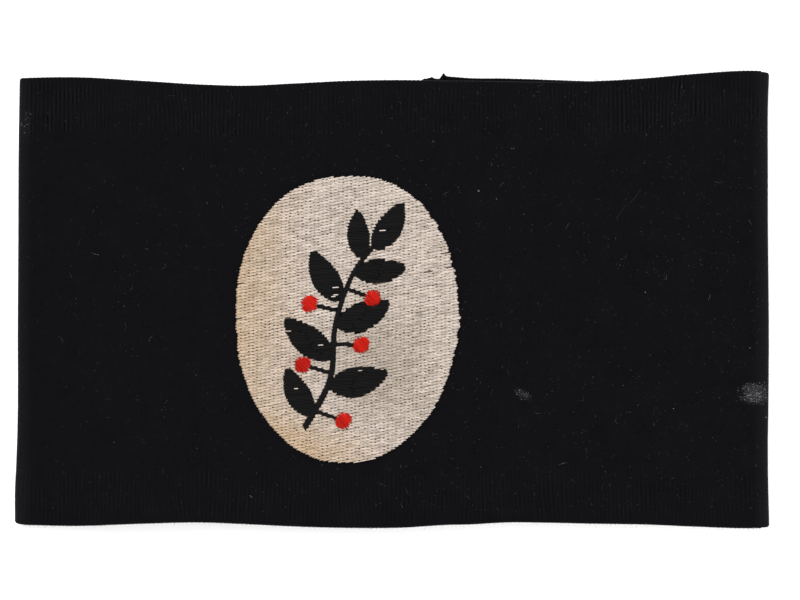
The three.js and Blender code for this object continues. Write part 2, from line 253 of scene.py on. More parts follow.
# The strip's length in five runs: upper end, left fold, front, right fold, lower end
foldLength = math.pi * foldRadius
runLengths = [
    band["seamAcross"] + flatHalf, foldLength, 2 * flatHalf, foldLength, flatHalf - lapFoot,
]
runEnds = np.cumsum(runLengths)
stripLength = runEnds[-1]


def stripPoint(length, along):
    # on the outer face, at a length along the strip and a place from the lower rim, -1, to the upper, 1
    run = np.minimum(np.searchsorted(runEnds, length), 4)
    onRun = length - np.concatenate([[0], runEnds])[run]
    turn = onRun / foldRadius
    x = np.choose(run, [
        band["seamAcross"] - onRun,
        -flatHalf - foldRadius * np.sin(turn),
        -flatHalf + onRun,
        flatHalf + foldRadius * np.sin(turn),
        flatHalf - onRun,
    ])
    names = ("upper", "upperBack", "lower", "lowerBack")
    upper, upperBack, lower, lowerBack = (curveThrough(rimOutline, name, x / halfLength) for name in names)
    lapped = np.minimum(upper, upperBack)
    showsFrom, over = band["underShows"]
    under = lapped + (upperBack - lapped) * smoothStep((x - showsFrom) / over)
    topEnd, underEnd = (np.interp(x, lapEdges["place"], lapEdges[end]) for end in ("top", "under"))
    top = np.choose(run, [lapped, upperBack, upper, upperBack, under]) * halfHeight
    top = top + np.choose(run, [topEnd, 0, 0, 0, underEnd])
    lower = np.where(run == 2, lower, lowerBack) * halfHeight
    y = (top + lower) * (along + 1) / 2 - lower
    climb = smoothStep((x - (lapFoot - band["lapGap"] - band["lapRamp"])) / band["lapRamp"])
    z = np.choose(run, [
        climb * (wallAt(along) + band["lapGap"]),
        foldRadius * (1 - np.cos(turn)) + 0 * y,
        frontHeight(x, y),
        foldRadius * (1 + np.cos(turn)) + 0 * y,
        0 * y,
    ])
    return stacked(x * sideShare(x, y), y, z)


# The knit: one closed strip with its ribs in relief

knit = {
    "ribPitch": 1.03,
    "columnsPerRib": 4,
    "ribDepth": 0.19,
    "ridgePower": 0.6,  # below 1 the ribs are broad and the grooves narrow
    "waleDepth": 0.05,  # the same columns of loops in the plain knit
    "coursePitch": 0.8,
    "ribUneven": 0.2,
    "endUneven": 0.35,  # the ribs run out into the plain knit raggedly
    "endBlend": 1.4,
    "lean": 0.5,  # how far the ribs wander sideways, and over how many columns
    "leanColumns": 44,
    "scallop": 0.07,  # the rim follows the ribs
    "scallopReach": 1.2,
    "castOff": 1.3,  # depth of the smooth strip along the rim
    "castOffRib": 0.25,  # what is left of the ribs on it
    "patchLength": 4.0,  # the ribs stand out in some places and are felted over in others
    "patchUneven": 0.4,
    "faint": 0.34,
    "clearest": 0.85,
}
# where along the front's upper rim the ribs are clearest: middle and reach
clearRibs = {"across": [-84, -48, 65, 90], "reach": [7, 4, 11, 3]}
# rows of the section: distance from the rim
borderRows = [0.6, 1.3, 2.8, 4.8, 6.8, 8.8, 10.8, 12.6, 14.2]
fieldRowCount = 10


def sectionRows():
    # once round the strip's section from the lower rim's nose: place along, and depth in the wall, 0 to 1
    border = [1 - fromRim / halfHeight for fromRim in borderRows]
    field = np.linspace(-border[-1], border[-1], fieldRowCount + 2)[1:-1]
    outer = [-place for place in border] + list(field) + border[::-1]
    nose = 1 - 0.3 * band["rimRound"] / halfHeight
    along = [-1, -nose, *outer, nose, 1, nose, *outer[::-1], -nose, -1]
    depth = [0.5, 0.15, *[0] * len(outer), 0.15, 0.5, 0.85, *[1] * len(outer), 0.85, 0.5]
    return np.array(along), np.array(depth)


def slowNoise(count, step, spread, width=1):
    # smooth random wanders, side by side, over an evenly spaced run
    knots = jitter(spread, (int(count / step) + 3, width))
    at = np.arange(count) / step
    k = at.astype(int)
    return knots[k] + (knots[k + 1] - knots[k]) * smoothStep(at - k)[:, None]


def ribClearness(x, along, onFront):
    spots = [np.exp(-((x - middle) / reach) ** 2 / 2) for middle, reach in zip(*clearRibs.values())]
    return knit["faint"] + (knit["clearest"] - knit["faint"]) * sum(spots) * onFront * (along > 0)


def knitPoints():
    along, depthShare = (row[None, :] for row in sectionRows())
    ribs = round(stripLength / knit["ribPitch"])
    columns = ribs * knit["columnsPerRib"]
    column = np.arange(columns + 1)[:, None]
    length = stripLength * column / columns
    face = stripPoint(length, along)
    run = np.gradient(face, axis=0)
    inward = unit(stacked(run[..., 2], 0 * run[..., 0], -run[..., 0]))

    turn = 2 * math.pi * column / knit["columnsPerRib"]
    ridge, backRidge = ((0.5 + half * np.cos(turn)) ** knit["ridgePower"] for half in (-0.5, 0.5))
    rib = np.minimum(column[:, 0] // knit["columnsPerRib"], ribs - 1)
    strength = (1 + jitter(knit["ribUneven"], ribs))[rib][:, None]
    patchStep = knit["patchLength"] / knit["ribPitch"] * knit["columnsPerRib"]
    patches = slowNoise(columns + 1, patchStep, knit["patchUneven"], along.size)
    patches = 1 + (patches + patches[:, ::-1]) / math.sqrt(2)  # the same on both faces of the knit
    onFront = (length > runEnds[1]) & (length < runEnds[2])
    patches = patches * ribClearness(face[..., 0], along, onFront)
    fromRim = (1 - np.abs(along)) * halfHeight
    ragged = band["borderHeight"] + jitter(knit["endUneven"], ribs)[rib][:, None]
    ribbed = smoothStep((ragged - fromRim) / knit["endBlend"] + 0.5)
    pastCastOff = smoothStep((fromRim - 0.5 * knit["castOff"]) / knit["castOff"])
    ribbed = ribbed * (knit["castOffRib"] + (1 - knit["castOffRib"]) * pastCastOff)
    clear = np.clip(strength * patches, 0.2, 1.4) * ribbed
    groove = knit["ribDepth"] * clear + knit["waleDepth"] * (1 - ribbed)

    outside = groove * (1 - ridge)
    inside = wallAt(along) - groove * (1 - backRidge)
    toEnd = np.minimum(length, stripLength - length) / band["rimRound"]
    rounded = np.sqrt(1 - (1 - np.clip(toEnd, 0, 1)) ** 2)
    middle = (outside + inside) / 2
    depth = middle + (outside + (inside - outside) * depthShare - middle) * rounded
    points = face + inward * depth[..., None]

    # the ribs wander between the rim and the plain knit, but not in the folds
    sway = slowNoise(columns + 1, knit["leanColumns"], 1.0) * np.sign(along)
    sway = sway * knit["lean"] * smoothStep((fromRim - 1) / 9) * smoothStep((22 - fromRim) / 8)
    level = smoothStep((flatHalf - 3 - np.abs(face[..., 0])) / 3)
    points[..., 0] -= sway * level * np.sign(inward[..., 2])
    atRim = np.clip(1 - fromRim / knit["scallopReach"], 0, 1) * np.sign(along)
    points[..., 1] += knit["scallop"] * (ridge - 0.5) * atRim
    cloth = stacked(length, (along + 1) * halfHeight)
    return points, cloth, clear


def makeKnit():
    points, cloth, clear = knitPoints()
    columns, rows = points.shape[0] - 1, points.shape[1] - 1
    bm = bmesh.new()
    bmesh.ops.create_grid(bm, x_segments=columns, y_segments=rows, size=0.5)
    weave = bm.loops.layers.uv.new("knit")
    ribs = bm.verts.layers.float.new("ribs")
    spots = {vert: (round((vert.co.x + 0.5) * columns), round((vert.co.y + 0.5) * rows)) for vert in bm.verts}
    for face in bm.faces:
        for loop in face.loops:
            loop[weave].uv = cloth[spots[loop.vert]] * mm
    for vert, spot in spots.items():
        vert.co = points[spot] * mm
        vert[ribs] = clear[spot]
    bmesh.ops.remove_doubles(bm, verts=bm.verts, dist=0.004 * mm)
    bmesh.ops.recalc_face_normals(bm, faces=bm.faces)
    piece = finishedPiece("knitted_strip", bm)
    print("knit:", len(piece.data.polygons), "faces")
    return piece


# Threads and fibres: many strands in one mesh

def lengthsAlong(lines):
    # how far each point is from the start of its line
    steps = np.linalg.norm(np.diff(lines, axis=-2), axis=-1)
    return np.concatenate([0 * steps[..., :1], np.cumsum(steps, axis=-1)], axis=-1)


def strandMesh(name, lines, halfWidth, halfHeight, sides, endGirth, up=(0, 0, 1)):
    # each line of points becomes a closed strand, thinner at its ends, with a random tone from 0 to 1
    count, steps = lines.shape[:2]
    run = unit(np.gradient(lines, axis=1))
    side = unit(np.cross(run, np.reshape(up, (-1, 1, 3))))
    lift = np.cross(side, run)
    girth = np.ones((count, steps, 1))
    girth[:, (0, -1), 0] = endGirth
    width, height = (np.reshape(half, (-1, 1, 1)) for half in (halfWidth, halfHeight))
    turns = 2 * math.pi * np.arange(sides) / sides
    rings = [lines + (side * math.cos(a) * width + lift * math.sin(a) * height) * girth for a in turns]
    points = np.stack(rings, axis=2) * mm

    number = np.arange(count * steps * sides).reshape(count, steps, sides)
    after = np.roll(number, -1, axis=2)
    walls = stacked(number[:, :-1], number[:, 1:], after[:, 1:], after[:, :-1])
    faces = walls.reshape(-1, 4).tolist() + number[:, 0].tolist() + number[:, -1, ::-1].tolist()
    mesh = bpy.data.meshes.new(name)
    mesh.from_pydata(points.reshape(-1, 3), [], faces)
    mesh.shade_smooth()

    distance = lengthsAlong(lines) + chance.random((count, 1)) * 10
    around = np.arange(sides) / sides
    flat = stacked(distance[:, :, None], around).reshape(-1, 2)
    corner = np.zeros(len(mesh.loops), np.int32)
    mesh.loops.foreach_get("vertex_index", corner)
    uv = flat[corner]
    wallCorners = uv[: walls.size].reshape(-1, 4, 2)
    wrapped = np.ptp(wallCorners[:, :, 1], axis=1) > 0.5
    wallCorners[wrapped, 2:, 1] += 1
    mesh.uv_layers.new(name="thread").data.foreach_set("uv", uv.astype(np.float32).ravel())
    tones = np.repeat(chance.random(count), steps * sides).astype(np.float32)
    mesh.attributes.new("tone", "FLOAT", "POINT").data.foreach_set("value", tones)
    print(name + ":", count, "strands,", len(mesh.polygons), "faces")
    return inScene(name, mesh)


# The badge's plane, and the rows of thread that fill it

badgeSize, badgeMiddle = sizeAndMiddle("badge")
badge = {
    "width": badgeSize[0],
    "height": badgeSize[1],
    "middle": badgeMiddle[:2],
    "tilt": -0.9,
    "fullness": 2.25,
    "padTop": 0.42,  # above the knit
    "padRings": [0.985, 0.9, 0.75, 0.6, 0.45, 0.3, 0.15],
    "endSlack": (0.1, 0.17),  # by which the rows end short of the left and the right edge, or beyond
    "rowTilt": 12.2,  # the rows climb to the right
    "rowPitch": 0.364,  # they lie in pairs, there and back
    "columnLean": 11.3,  # the needle holes stand one above the other, this far off square to the rows
    "stitchLength": 2.044,
    "shortest": 0.5,
    "tuck": 0.25,  # how far the rows run on under the black
    "bendIn": 0.4,  # the last of each stitch, where it goes down into its needle hole
    "holeDepth": 0.19,
    "uneven": 0.12,  # of the places of the needle holes
    "fewOpen": 2.4,  # most holes are nearly closed, a few stand open
    "drawIn": (0.02, 0.22),  # a needle hole draws a pair together, so that a gap opens beside it
    "edgeHole": (0.12, 1),  # how far the last hole of a row is drawn, and how wide open it is
    "lean": 0.07,  # and the other row of the pair gives way too
    "endGirth": (0.95, 0.78),  # at a closed hole and at an open one
    "halfWidth": 0.196,
    "halfHeight": 0.13,
    "lift": 0.5,
    "arch": 0.03,
    "wander": 0.02,
    "missing": [(24.0, 16.4), (25.3, 13.1), (19.8, 11.9), (-26.8, -0.3), (-26.5, 8.1)],  # stitches left out
}
# the embroidery is no true oval: at these angles its edge stands this far out
badgeBulges = {
    "place": [0, 10, 30, 50, 60, 70, 80, 90, 100, 140, 150, 160, 170, 190,
              200, 230, 240, 250, 260, 270, 280, 290, 300, 320, 340, 350, 360],
    "out": [0.05, -0.15, -0.25, -0.2, -0.05, 0.05, -0.05, -0.3, -0.4, -0.4, -0.15, -0.05, -0.35, -0.45,
            -0.15, 0, 0.1, 0.25, 0.2, -0.15, 0.1, -0.15, -0.1, -0.3, -0.4, -0.15, 0.05],
}


def badgeEdge(angle):
    power = np.where(np.sin(angle) > 0, badge["fullness"], 2)
    radius = (np.abs(np.cos(angle)) ** power + np.abs(np.sin(angle)) ** power) ** (-1 / power)
    x = badge["width"] / 2 * radius * np.cos(angle)
    y = badge["height"] / 2 * radius * np.sin(angle)
    out = np.interp(np.degrees(np.arctan2(y, x)) % 360, badgeBulges["place"], badgeBulges["out"])
    return stacked(x, y) * (1 + out / np.hypot(x, y))[..., None]


def heading(angle):
    return stacked(np.cos(angle), np.sin(angle))


def turned(points, degrees):
    c, s = math.cos(math.radians(degrees)), math.sin(math.radians(degrees))
    x, y = points[..., 0], points[..., 1]
    return stacked(x * c - y * s, x * s + y * c)


def onCloth(points, lift):
    # from the badge's own plane to the front of the band
    return raised(turned(points, badge["tilt"]) + badge["middle"], lift)


def spansOf(outline, row):
    # where a row of thread enters and leaves an outline
    x, y = outline[:, 0], outline[:, 1]
    nextX, nextY = np.roll(x, -1), np.roll(y, -1)
    crossed = (y > row) != (nextY > row)
    at = x + (row - y) * (nextX - x) / np.where(crossed, nextY - y, 1)
    return [tuple(pair) for pair in np.sort(at[crossed]).reshape(-1, 2)]


def joined(spans):
    out = []
    for start, end in sorted(spans):
        if out and start <= out[-1][1] + 0.1:
            out[-1][1] = max(out[-1][1], end)
        else:
            out.append([start, end])
    return out


def without(span, holes):
    out, start = [], span[0]
    for holeStart, holeEnd in joined(holes):
        if holeEnd > start and holeStart < span[1]:
            out.append([start, holeStart])
            start = max(start, holeEnd)
    out.append([start, span[1]])
    return [part for part in out if part[1] - part[0] > 0.3]


def stitchLines(stitches, tilt, work):
    # a stitch is its start, end and row, the way to the other row of its pair, -1 or 1, then for each end
    # how far it is drawn that way and how wide open its needle hole stands, from 0 to 1
    start, end, row, inward, drawnStart, openStart, drawnEnd, openEnd = np.array(stitches).T[..., None]
    length = end - start
    bend = np.clip(work["bendIn"] / length, 0.04, 0.33)
    none = 0 * bend
    places = np.hstack([none, bend, none + 0.5, 1 - bend, none + 1])
    drawn = np.hstack([drawnStart, none, none + work["lean"], none, drawnEnd])
    sunkStart, sunkEnd = 0.2 + 0.8 * openStart, 0.2 + 0.8 * openEnd  # a closed hole is shallow
    sink = np.hstack([sunkStart, none + 0.15, none, none + 0.15, sunkEnd])
    lift = work["lift"] - work["holeDepth"] * sink + work["arch"] * np.array([0, 0, 1, 0, 0])
    lift += jitter(0.015, (len(stitches), 1))
    v = row + inward * drawn + jitter(work["wander"], (len(stitches), 1))
    return onCloth(turned(stacked(start + length * places, v), tilt), lift)


def stitchMesh(name, lines, work, sides, openness):
    girths = work["halfWidth"] * chance.normal(1, 0.05, len(lines))
    closed, wide = work["endGirth"]
    return strandMesh(name, lines, girths, work["halfHeight"], sides, closed + (wide - closed) * openness)


# The sprig and its berries, on the same lines as their solids

sprig = {
    "leafLength": badge["height"] * 0.21,
    "leafWidth": badge["height"] * 0.21 * 0.48,
    "leafBow": 0.12,
    "leafPoint": 0.07,  # half width at a leaf's foot and tip, as a share of its width
    "rowTilt": 5.0,
    "longestFloat": 8.0,
    "tooth": 0.3,  # how far the points at the ends of its rows reach out over the cream
    "bendIn": 0.7,
    "holeDepth": 0.26,
    "drawIn": 0.15,
    "lean": 0,
    "endGirth": (0.95, 0.5),
    "halfWidth": 0.205,
    "halfHeight": 0.16,
    "lift": 0.64,
    "arch": 0.05,
    "wander": 0.02,
    "crossPitch": 0.34,  # of the stitches over the stem and the stalks
    "crossSlant": 32,
    "crossRise": (-0.26, 0.02, 0.12, 0.02, -0.26),  # from end to end of a stitch
}
stemBends = np.array([(-0.36, -0.76), (-0.14, -0.42), (-0.1, -0.04), (0.04, 0.3), (0.22, 0.5)])
stemBends = stemBends * (badge["width"] / 2, badge["height"] / 2)
leaves = {
    "place": [0.08, 0.25, 0.4, 0.56, 0.69, 0.85, 0.93, 1.0],
    "side": [-1, 1, -1, 1, -1, 1, -1, 1],
    "size": [0.86, 1.0, 1.0, 0.96, 0.94, 0.84, 0.78, 0.88],
    "angle": [60, 56, 54, 55, 50, 54, 46, -4],
}
berries = {
    "place": [0.1, 0.31, 0.46, 0.63, 0.75],
    "side": [1, -1, 1, -1, 1],
    "reach": [0.5, 0.5, 0.46, 0.5, 0.46],
    "angle": [78, 84, 90, 92, 88],
}
berryRadius = sizeAndMiddle("berry_1")[0][0] / 2


def stemPoints():
    # a Catmull-Rom curve through the bends, as in the solid
    bends = np.concatenate([stemBends[:1], stemBends, stemBends[-1:]])
    parts = []
    for p0, p1, p2, p3 in zip(bends, bends[1:], bends[2:], bends[3:]):
        t = np.linspace(0, 1, 60, endpoint=False)[:, None]
        v0, v1 = (p2 - p0) / 2, (p3 - p1) / 2
        cubic, square = 2 * p1 - 2 * p2 + v0 + v1, 3 * p2 - 3 * p1 - 2 * v0 - v1
        parts.append(cubic * t**3 + square * t**2 + v0 * t + p1)
    return np.concatenate([*parts, stemBends[-1:]])


stem = stemPoints()
stemDistance = lengthsAlong(stem)


def pointAt(line, distance, at):
    return np.array([np.interp(at, distance, line[:, k]) for k in (0, 1)])


def onStem(place):
    return pointAt(stem, stemDistance, place * stemDistance[-1])


def offStem(place, side, angle):
    return turned(unit(onStem(min(place + 0.005, 1)) - onStem(place - 0.005)), -side * angle)


def columnOutline(line, halfWidths):
    run = unit(np.gradient(line, axis=0))
    left = stacked(-run[:, 1], run[:, 0]) * halfWidths[:, None]
    return np.concatenate([line + left, (line - left)[::-1]])


def leafOutline(place, side, size, angle):
    length, width = size * sprig["leafLength"], size * sprig["leafWidth"]
    run, foot = offStem(place, side, angle), onStem(place)
    tip = foot + run * length
    bow = np.array([-run[1], run[0]]) * side * sprig["leafBow"] * length
    middle = (foot + tip) / 2 - bow
    t = np.linspace(0, 1, 40)[:, None]
    midrib = (1 - t) ** 2 * foot + 2 * t * (1 - t) * middle + t**2 * tip
    point = sprig["leafPoint"] * sprig["leafWidth"]
    swell = np.abs(np.sin(math.pi * t[:, 0] ** 0.85)) ** 0.8
    return columnOutline(midrib, point + (width / 2 - point) * swell)


def berryMiddle(place, side, reach, angle):
    return onStem(place) + offStem(place, side, angle) * reach * sprig["leafLength"]


leafOutlines = [leafOutline(*leaf) for leaf in zip(*leaves.values())]
berryMiddles = [berryMiddle(*berry) for berry in zip(*berries.values())]


def sprigColumns():
    # the stem and the berries' stalks: a line and its half width
    columns = [(stem, sprig["leafWidth"] * (0.12 - 0.05 * np.linspace(0, 1, len(stem))))]
    for place, middle in zip(berries["place"], berryMiddles):
        foot = onStem(place)
        away = np.linalg.norm(middle - foot)
        line = foot + (middle - foot) * np.linspace(0, (away - berryRadius + 0.2) / away, 8)[:, None]
        columns.append((line, np.full(8, 0.065 * sprig["leafWidth"])))
    return columns


def berryRoom():
    ring = heading(np.linspace(0, 2 * math.pi, 40, endpoint=False)) * (berryRadius - 0.1)
    return [ring + middle for middle in berryMiddles]


def pairsAcross(outlines, tilt):
    # every pair of rows of thread, and the spans in which it runs over the outlines
    level = [turned(outline, -tilt) for outline in outlines]
    count = int(badge["height"] / 4 / badge["rowPitch"]) + 4
    for k in range(-count, count + 1):
        row = 2 * k * badge["rowPitch"]
        yield k, row, joined([span for outline in level for span in spansOf(outline, row)])


def stitchesAlong(start, end, row, inward, marks, holes):
    # holes: how far each end is drawn and how wide open it stands, from the first end to the last
    ends = [start, *marks, end]
    return [(*ends[n : n + 2], row, inward, *holes[n], *holes[n + 1]) for n in range(len(ends) - 1)]


def groundStitches():
    length, tilt, pitch = badge["stitchLength"], badge["rowTilt"], badge["rowPitch"]
    oval = turned(badgeEdge(np.linspace(0, 2 * math.pi, 360, endpoint=False)), -tilt)
    lean = 2 * pitch * math.tan(math.radians(badge["columnLean"]))
    missing = turned(np.array(badge["missing"]), -tilt)
    outlines = [columnOutline(*column) for column in sprigColumns()] + leafOutlines
    stitches = []
    for k, pairRow, black in pairsAcross(outlines, tilt):
        under = [(start + badge["tuck"], end - badge["tuck"]) for start, end in black if end - start > 1]
        slack = jitter(badge["endSlack"], 2) + (0.04, -0.04)
        for inward, phase in ((1, k * lean), (-1, (k + 1) * lean + length / 2)):
            row = pairRow - inward * pitch / 2
            left = [x for x, y in missing if abs(y - row) < pitch / 2]
            bare = under + [(x - length / 2, x + length / 2) for x in left]
            parts = [part for span in spansOf(oval, row) for part in without(np.array(span) + slack, bare)]
            for start, end in parts:
                first = math.ceil((start + badge["shortest"] - phase) / length)
                last = math.floor((end - badge["shortest"] - phase) / length)
                places = phase + length * np.arange(first, last + 1)
                marks = [place + jitter(badge["uneven"]) for place in places]
                gaps = chance.random(len(marks)) ** badge["fewOpen"]
                holes = [(float(np.interp(gap, (0, 1), badge["drawIn"])), gap) for gap in gaps]
                holes = [badge["edgeHole"], *holes, badge["edgeHole"]]
                stitches += stitchesAlong(start, end, row, inward, marks, holes)
    return stitches


def leafStitches():
    tilt, pitch = sprig["rowTilt"], badge["rowPitch"]
    stitches = []
    for (_, row, black), (_, _, room) in zip(pairsAcross(leafOutlines, tilt), pairsAcross(berryRoom(), tilt)):
        for span in black:
            for start, end in without(span, room):
                reach = sprig["tooth"] + jitter(0.1, 2)
                start, end = start - reach[0], end + reach[1]
                parts = math.ceil((end - start) / sprig["longestFloat"])
                shares = (np.arange(1, parts) + chance.uniform(-0.2, 0.2, parts - 1)) / parts
                marks = start + (end - start) * shares
                holes = [(sprig["drawIn"], 1), *[(0, 0)] * (parts - 1), (sprig["drawIn"], 1)]
                for inward in (1, -1):
                    stitches += stitchesAlong(start, end, row - inward * pitch / 2, inward, marks, holes)
    return stitches


def crossLines():
    # satin stitches laid slantwise over the stem and the stalks
    lines = []
    share = np.array([-1, -0.6, 0, 0.6, 1])[:, None]
    for line, halfWidths in sprigColumns():
        along = lengthsAlong(line)
        for at in np.arange(0, along[-1] + 0.2, sprig["crossPitch"]):
            run = unit(pointAt(line, along, at + 0.3) - pointAt(line, along, at - 0.3))
            across = turned(run, 90 - sprig["crossSlant"] + jitter(4))
            half = np.interp(at, along, halfWidths) + chance.normal(0.05, 0.05)
            lift = sprig["lift"] + np.array(sprig["crossRise"]) + jitter(0.02)
            lines.append(onCloth(pointAt(line, along, at) + across * half * share, lift))
    return np.array(lines)


# a dark sheet under the badge's threads; its colour is painted shade that shows through the needle holes and
# the gaps between the threads
def makePad():
    bm = bmesh.new()
    edges = []
    for share in badge["padRings"]:
        ring = bmesh.ops.create_circle(bm, cap_ends=False, segments=128, radius=share)["verts"]
        edges += dict.fromkeys(edge for vert in ring for edge in vert.link_edges)
    bmesh.ops.bridge_loops(bm, edges=edges)
    middle = [edge for edge in bm.edges if edge.is_boundary and edge.verts[0].co.length < 0.2]
    bmesh.ops.edgeloop_fill(bm, edges=middle)
    lower = bmesh.ops.extrude_face_region(bm, geom=bm.faces[:])["geom"]
    lowered = {item for item in lower if isinstance(item, bmesh.types.BMVert)}
    for vert in bm.verts:
        flat = badgeEdge(np.array(math.atan2(vert.co.y, vert.co.x))) * vert.co.xy.length
        vert.co = onCloth(flat, 0.02 if vert in lowered else badge["padTop"]) * mm
    bmesh.ops.recalc_face_normals(bm, faces=bm.faces)
    return finishedPiece("badge_shadow_underlay", bm)


def makeBadge():
    stitches = np.array(groundStitches())
    lines = stitchLines(stitches, badge["rowTilt"], badge)
    ground = stitchMesh("badge_ground", lines, badge, 4, stitches[:, [5, 7]])
    satin = np.array(leafStitches())
    crossing = crossLines()
    lines = np.concatenate([stitchLines(satin, sprig["rowTilt"], sprig), crossing])
    openness = np.concatenate([satin[:, [5, 7]], np.full((len(crossing), 2), 0.8)])
    leafwork = stitchMesh("sprig_satin", lines, sprig, 6, openness)
    return makePad(), ground, leafwork, makeStrays(satin)


strays = {
    "count": 9,
    "halfLength": (0.45, 0.85),
    "bendIn": 0.2,
    "holeDepth": 0.16,
    "lean": 0,
    "endGirth": (0.9, 0.4),
    "halfWidth": 0.14,
    "halfHeight": 0.08,
    "lift": sprig["lift"] + 0.24,
    "arch": 0.02,
    "wander": 0.02,
}


def makeStrays(satin):
    # here and there a short cream stitch shows on the black
    wide = [stitch for stitch in satin if stitch[1] - stitch[0] > 3]
    stitches = []
    for k in chance.choice(len(wide), strays["count"], replace=False):
        start, end, row = wide[k][:3]
        middle, half = chance.uniform(start + 1, end - 1), chance.uniform(*strays["halfLength"])
        stitches.append((middle - half, middle + half, row + 0.1, 1, 0, 0.8, 0, 0.8))
    lines = stitchLines(stitches, sprig["rowTilt"], strays)
    return stitchMesh("stray_stitches", lines, strays, 4, np.full((len(lines), 2), 0.8))


berryWork = {
    "height": 0.72,
    "lift": 0.48,
    "pitch": 0.42,
    "lay": -52,  # direction of the upper stitches
    "layUneven": 7,
    "underShare": 0.72,  # size of the layer below, whose stitches lie square to these
    "endUneven": 0.16,
    "slant": 0.09,
    "halfWidth": 0.21,
    "halfHeight": 0.17,
}


def makeBerry(name, middle):
    lines = []
    for lay, share in ((berryWork["lay"] + 90, berryWork["underShare"]), (berryWork["lay"], 1.0)):
        lay += jitter(berryWork["layUneven"])
        radius = berryRadius * share
        for offset in np.arange(-radius + 0.16, radius - 0.1, berryWork["pitch"]):
            offset += jitter(0.03)
            half = math.sqrt(max(radius**2 - offset**2, 0.04))
            reach = half + jitter(berryWork["endUneven"], 2)
            u = np.linspace(-reach[0], reach[1], 7)
            v = offset + jitter(berryWork["slant"]) * u / radius
            fall = np.clip(1 - (u**2 + offset**2) / (berryRadius * 1.02) ** 2, 0, 1)
            lift = berryWork["lift"] + berryWork["height"] * share * np.sqrt(fall)
            lines.append(onCloth(turned(stacked(u, v), lay) + middle, lift))
    return strandMesh(name, np.array(lines), berryWork["halfWidth"], berryWork["halfHeight"], 6, 0.45)


# Lint, fuzz and the seam's thread

lint = {
    "count": 6000,
    "within": (0.985, 0.93),  # shares of the half length and height
    "offBadge": 1.04,  # it keeps off the embroidery, up to a little past its edge
    "rightward": (0.72, 1),  # below 1 there is more of it towards the right
    "halfWidth": (0.016, 0.035),
    "length": (0.12, 0.6),
    "shortward": 1.3,  # above 1 most are short
    "thinShare": 0.09,  # of thin, curved fibres that are this many times as long
    "thinTimes": 4.0,
    "thinGirth": 0.65,
    "longHalfWidth": 0.03,
    "bend": 0.9,
    "loose": 0.12,  # how far a fibre rises off the cloth between its middle and its ends
}
# patches of dust specks, each over a thin film, and clumps of specks
smudges = {
    "places": [
        {"across": 89.7, "along": -23.2, "reach": (4.0, 2.5), "turn": -6, "count": 350, "film": 0.36},
        {"across": 88.7, "along": -21.6, "reach": (3.0, 0.7), "turn": 5, "count": 60, "film": 0.1},
        {"across": 88.2, "along": -24.6, "reach": (2.9, 1.1), "turn": -8, "count": 50, "film": 0.1},
        {"across": 32.0, "along": -23.3, "reach": (2.4, 1.2), "turn": -34, "count": 75, "film": 0.16},
        {"across": -90.4, "along": 43.2, "reach": (1.7, 4.2), "turn": 0, "count": 30, "film": 0.04},
    ],
    "within": 0.992,
    "gathered": 0.72,  # above a half the specks are denser towards the middle of a patch
    "edgeUneven": 0.14,
    "halfWidth": (0.03, 0.055),
    "length": (0.06, 0.26),
    "clumps": [(21.2, 26.5), (25.6, 24.5), (62.1, 1.6), (47.8, -5.1), (-34.6, -48.5), (29.6, 36.9),
               (69.0, -26.8), (-68.3, -35.1), (53.0, 14.7), (10.1, 38.6), (92.2, -29.0), (88.2, -12.0),
               (90.7, -23.1), (91.7, -20.6), (87.5, -20.8), (87.8, -22.1)],
    "clumpCount": 5,
    "clumpSpread": 0.08,
    "clumpHalfWidth": 0.07,
}
# the fibres that stand out in the photograph, from end to end
longFibres = [
    ((-56.0, 49.1), (-54.2, 49.8)), ((16.2, 46.2), (20.4, 47.2)), ((-65.9, -24.1), (-62.9, -24.8)),
    ((-48.4, -36.2), (-47.9, -36.6)), ((53.2, 17.8), (55.9, 21.4)), ((56.2, 21.6), (59.4, 25.2)),
    ((-74.5, 12.0), (-72.6, 11.2)), ((70.2, 8.4), (71.4, 9.7)), ((40.1, -41.0), (41.9, -40.3)),
]


def fibreLines(starts, headings, lengths, lift):
    # curved fibres that lie on the front of the band
    count = len(starts)
    t = np.linspace(-0.5, 0.5, 4)
    bend = jitter(lint["bend"], (count, 1))
    step = heading(headings[:, None] + bend * t) * (lengths / 3)[:, None, None]
    flat = starts[:, None, :] + np.cumsum(step, axis=1)
    return raised(flat, lift + chance.uniform(0, lint["loose"], (count, 4)) * np.abs(np.sin(3 * t)))


def overBadge(places):
    shares = turned(places - badge["middle"], -badge["tilt"]) * 2 / (badge["width"], badge["height"])
    return (shares**2).sum(axis=1) < lint["offBadge"]


def makeLint():
    places = chance.random((lint["count"], 2)) ** lint["rightward"] * 2 - 1
    places *= np.array(lint["within"]) * (halfLength, halfHeight)
    places = places[~overBadge(places)]
    count = len(places)
    thin = chance.random(count) < lint["thinShare"]
    lengths = chance.uniform(*lint["length"], count) ** lint["shortward"]
    lengths = lengths * np.where(thin, lint["thinTimes"], 1)
    short = fibreLines(places, chance.uniform(0, math.pi, count), lengths, 0.03)
    ends = np.array(longFibres)
    run = ends[:, 1] - ends[:, 0]
    long = fibreLines(ends[:, 0], np.arctan2(run[:, 1], run[:, 0]), np.linalg.norm(run, axis=1) * 1.1, 0.06)
    girths = chance.uniform(*lint["halfWidth"], count) * np.where(thin, lint["thinGirth"], 1)
    girths = np.concatenate([girths, np.full(len(long), lint["longHalfWidth"])])
    return strandMesh("lint", np.concatenate([short, long]), girths, girths, sides=3, endGirth=0.5)


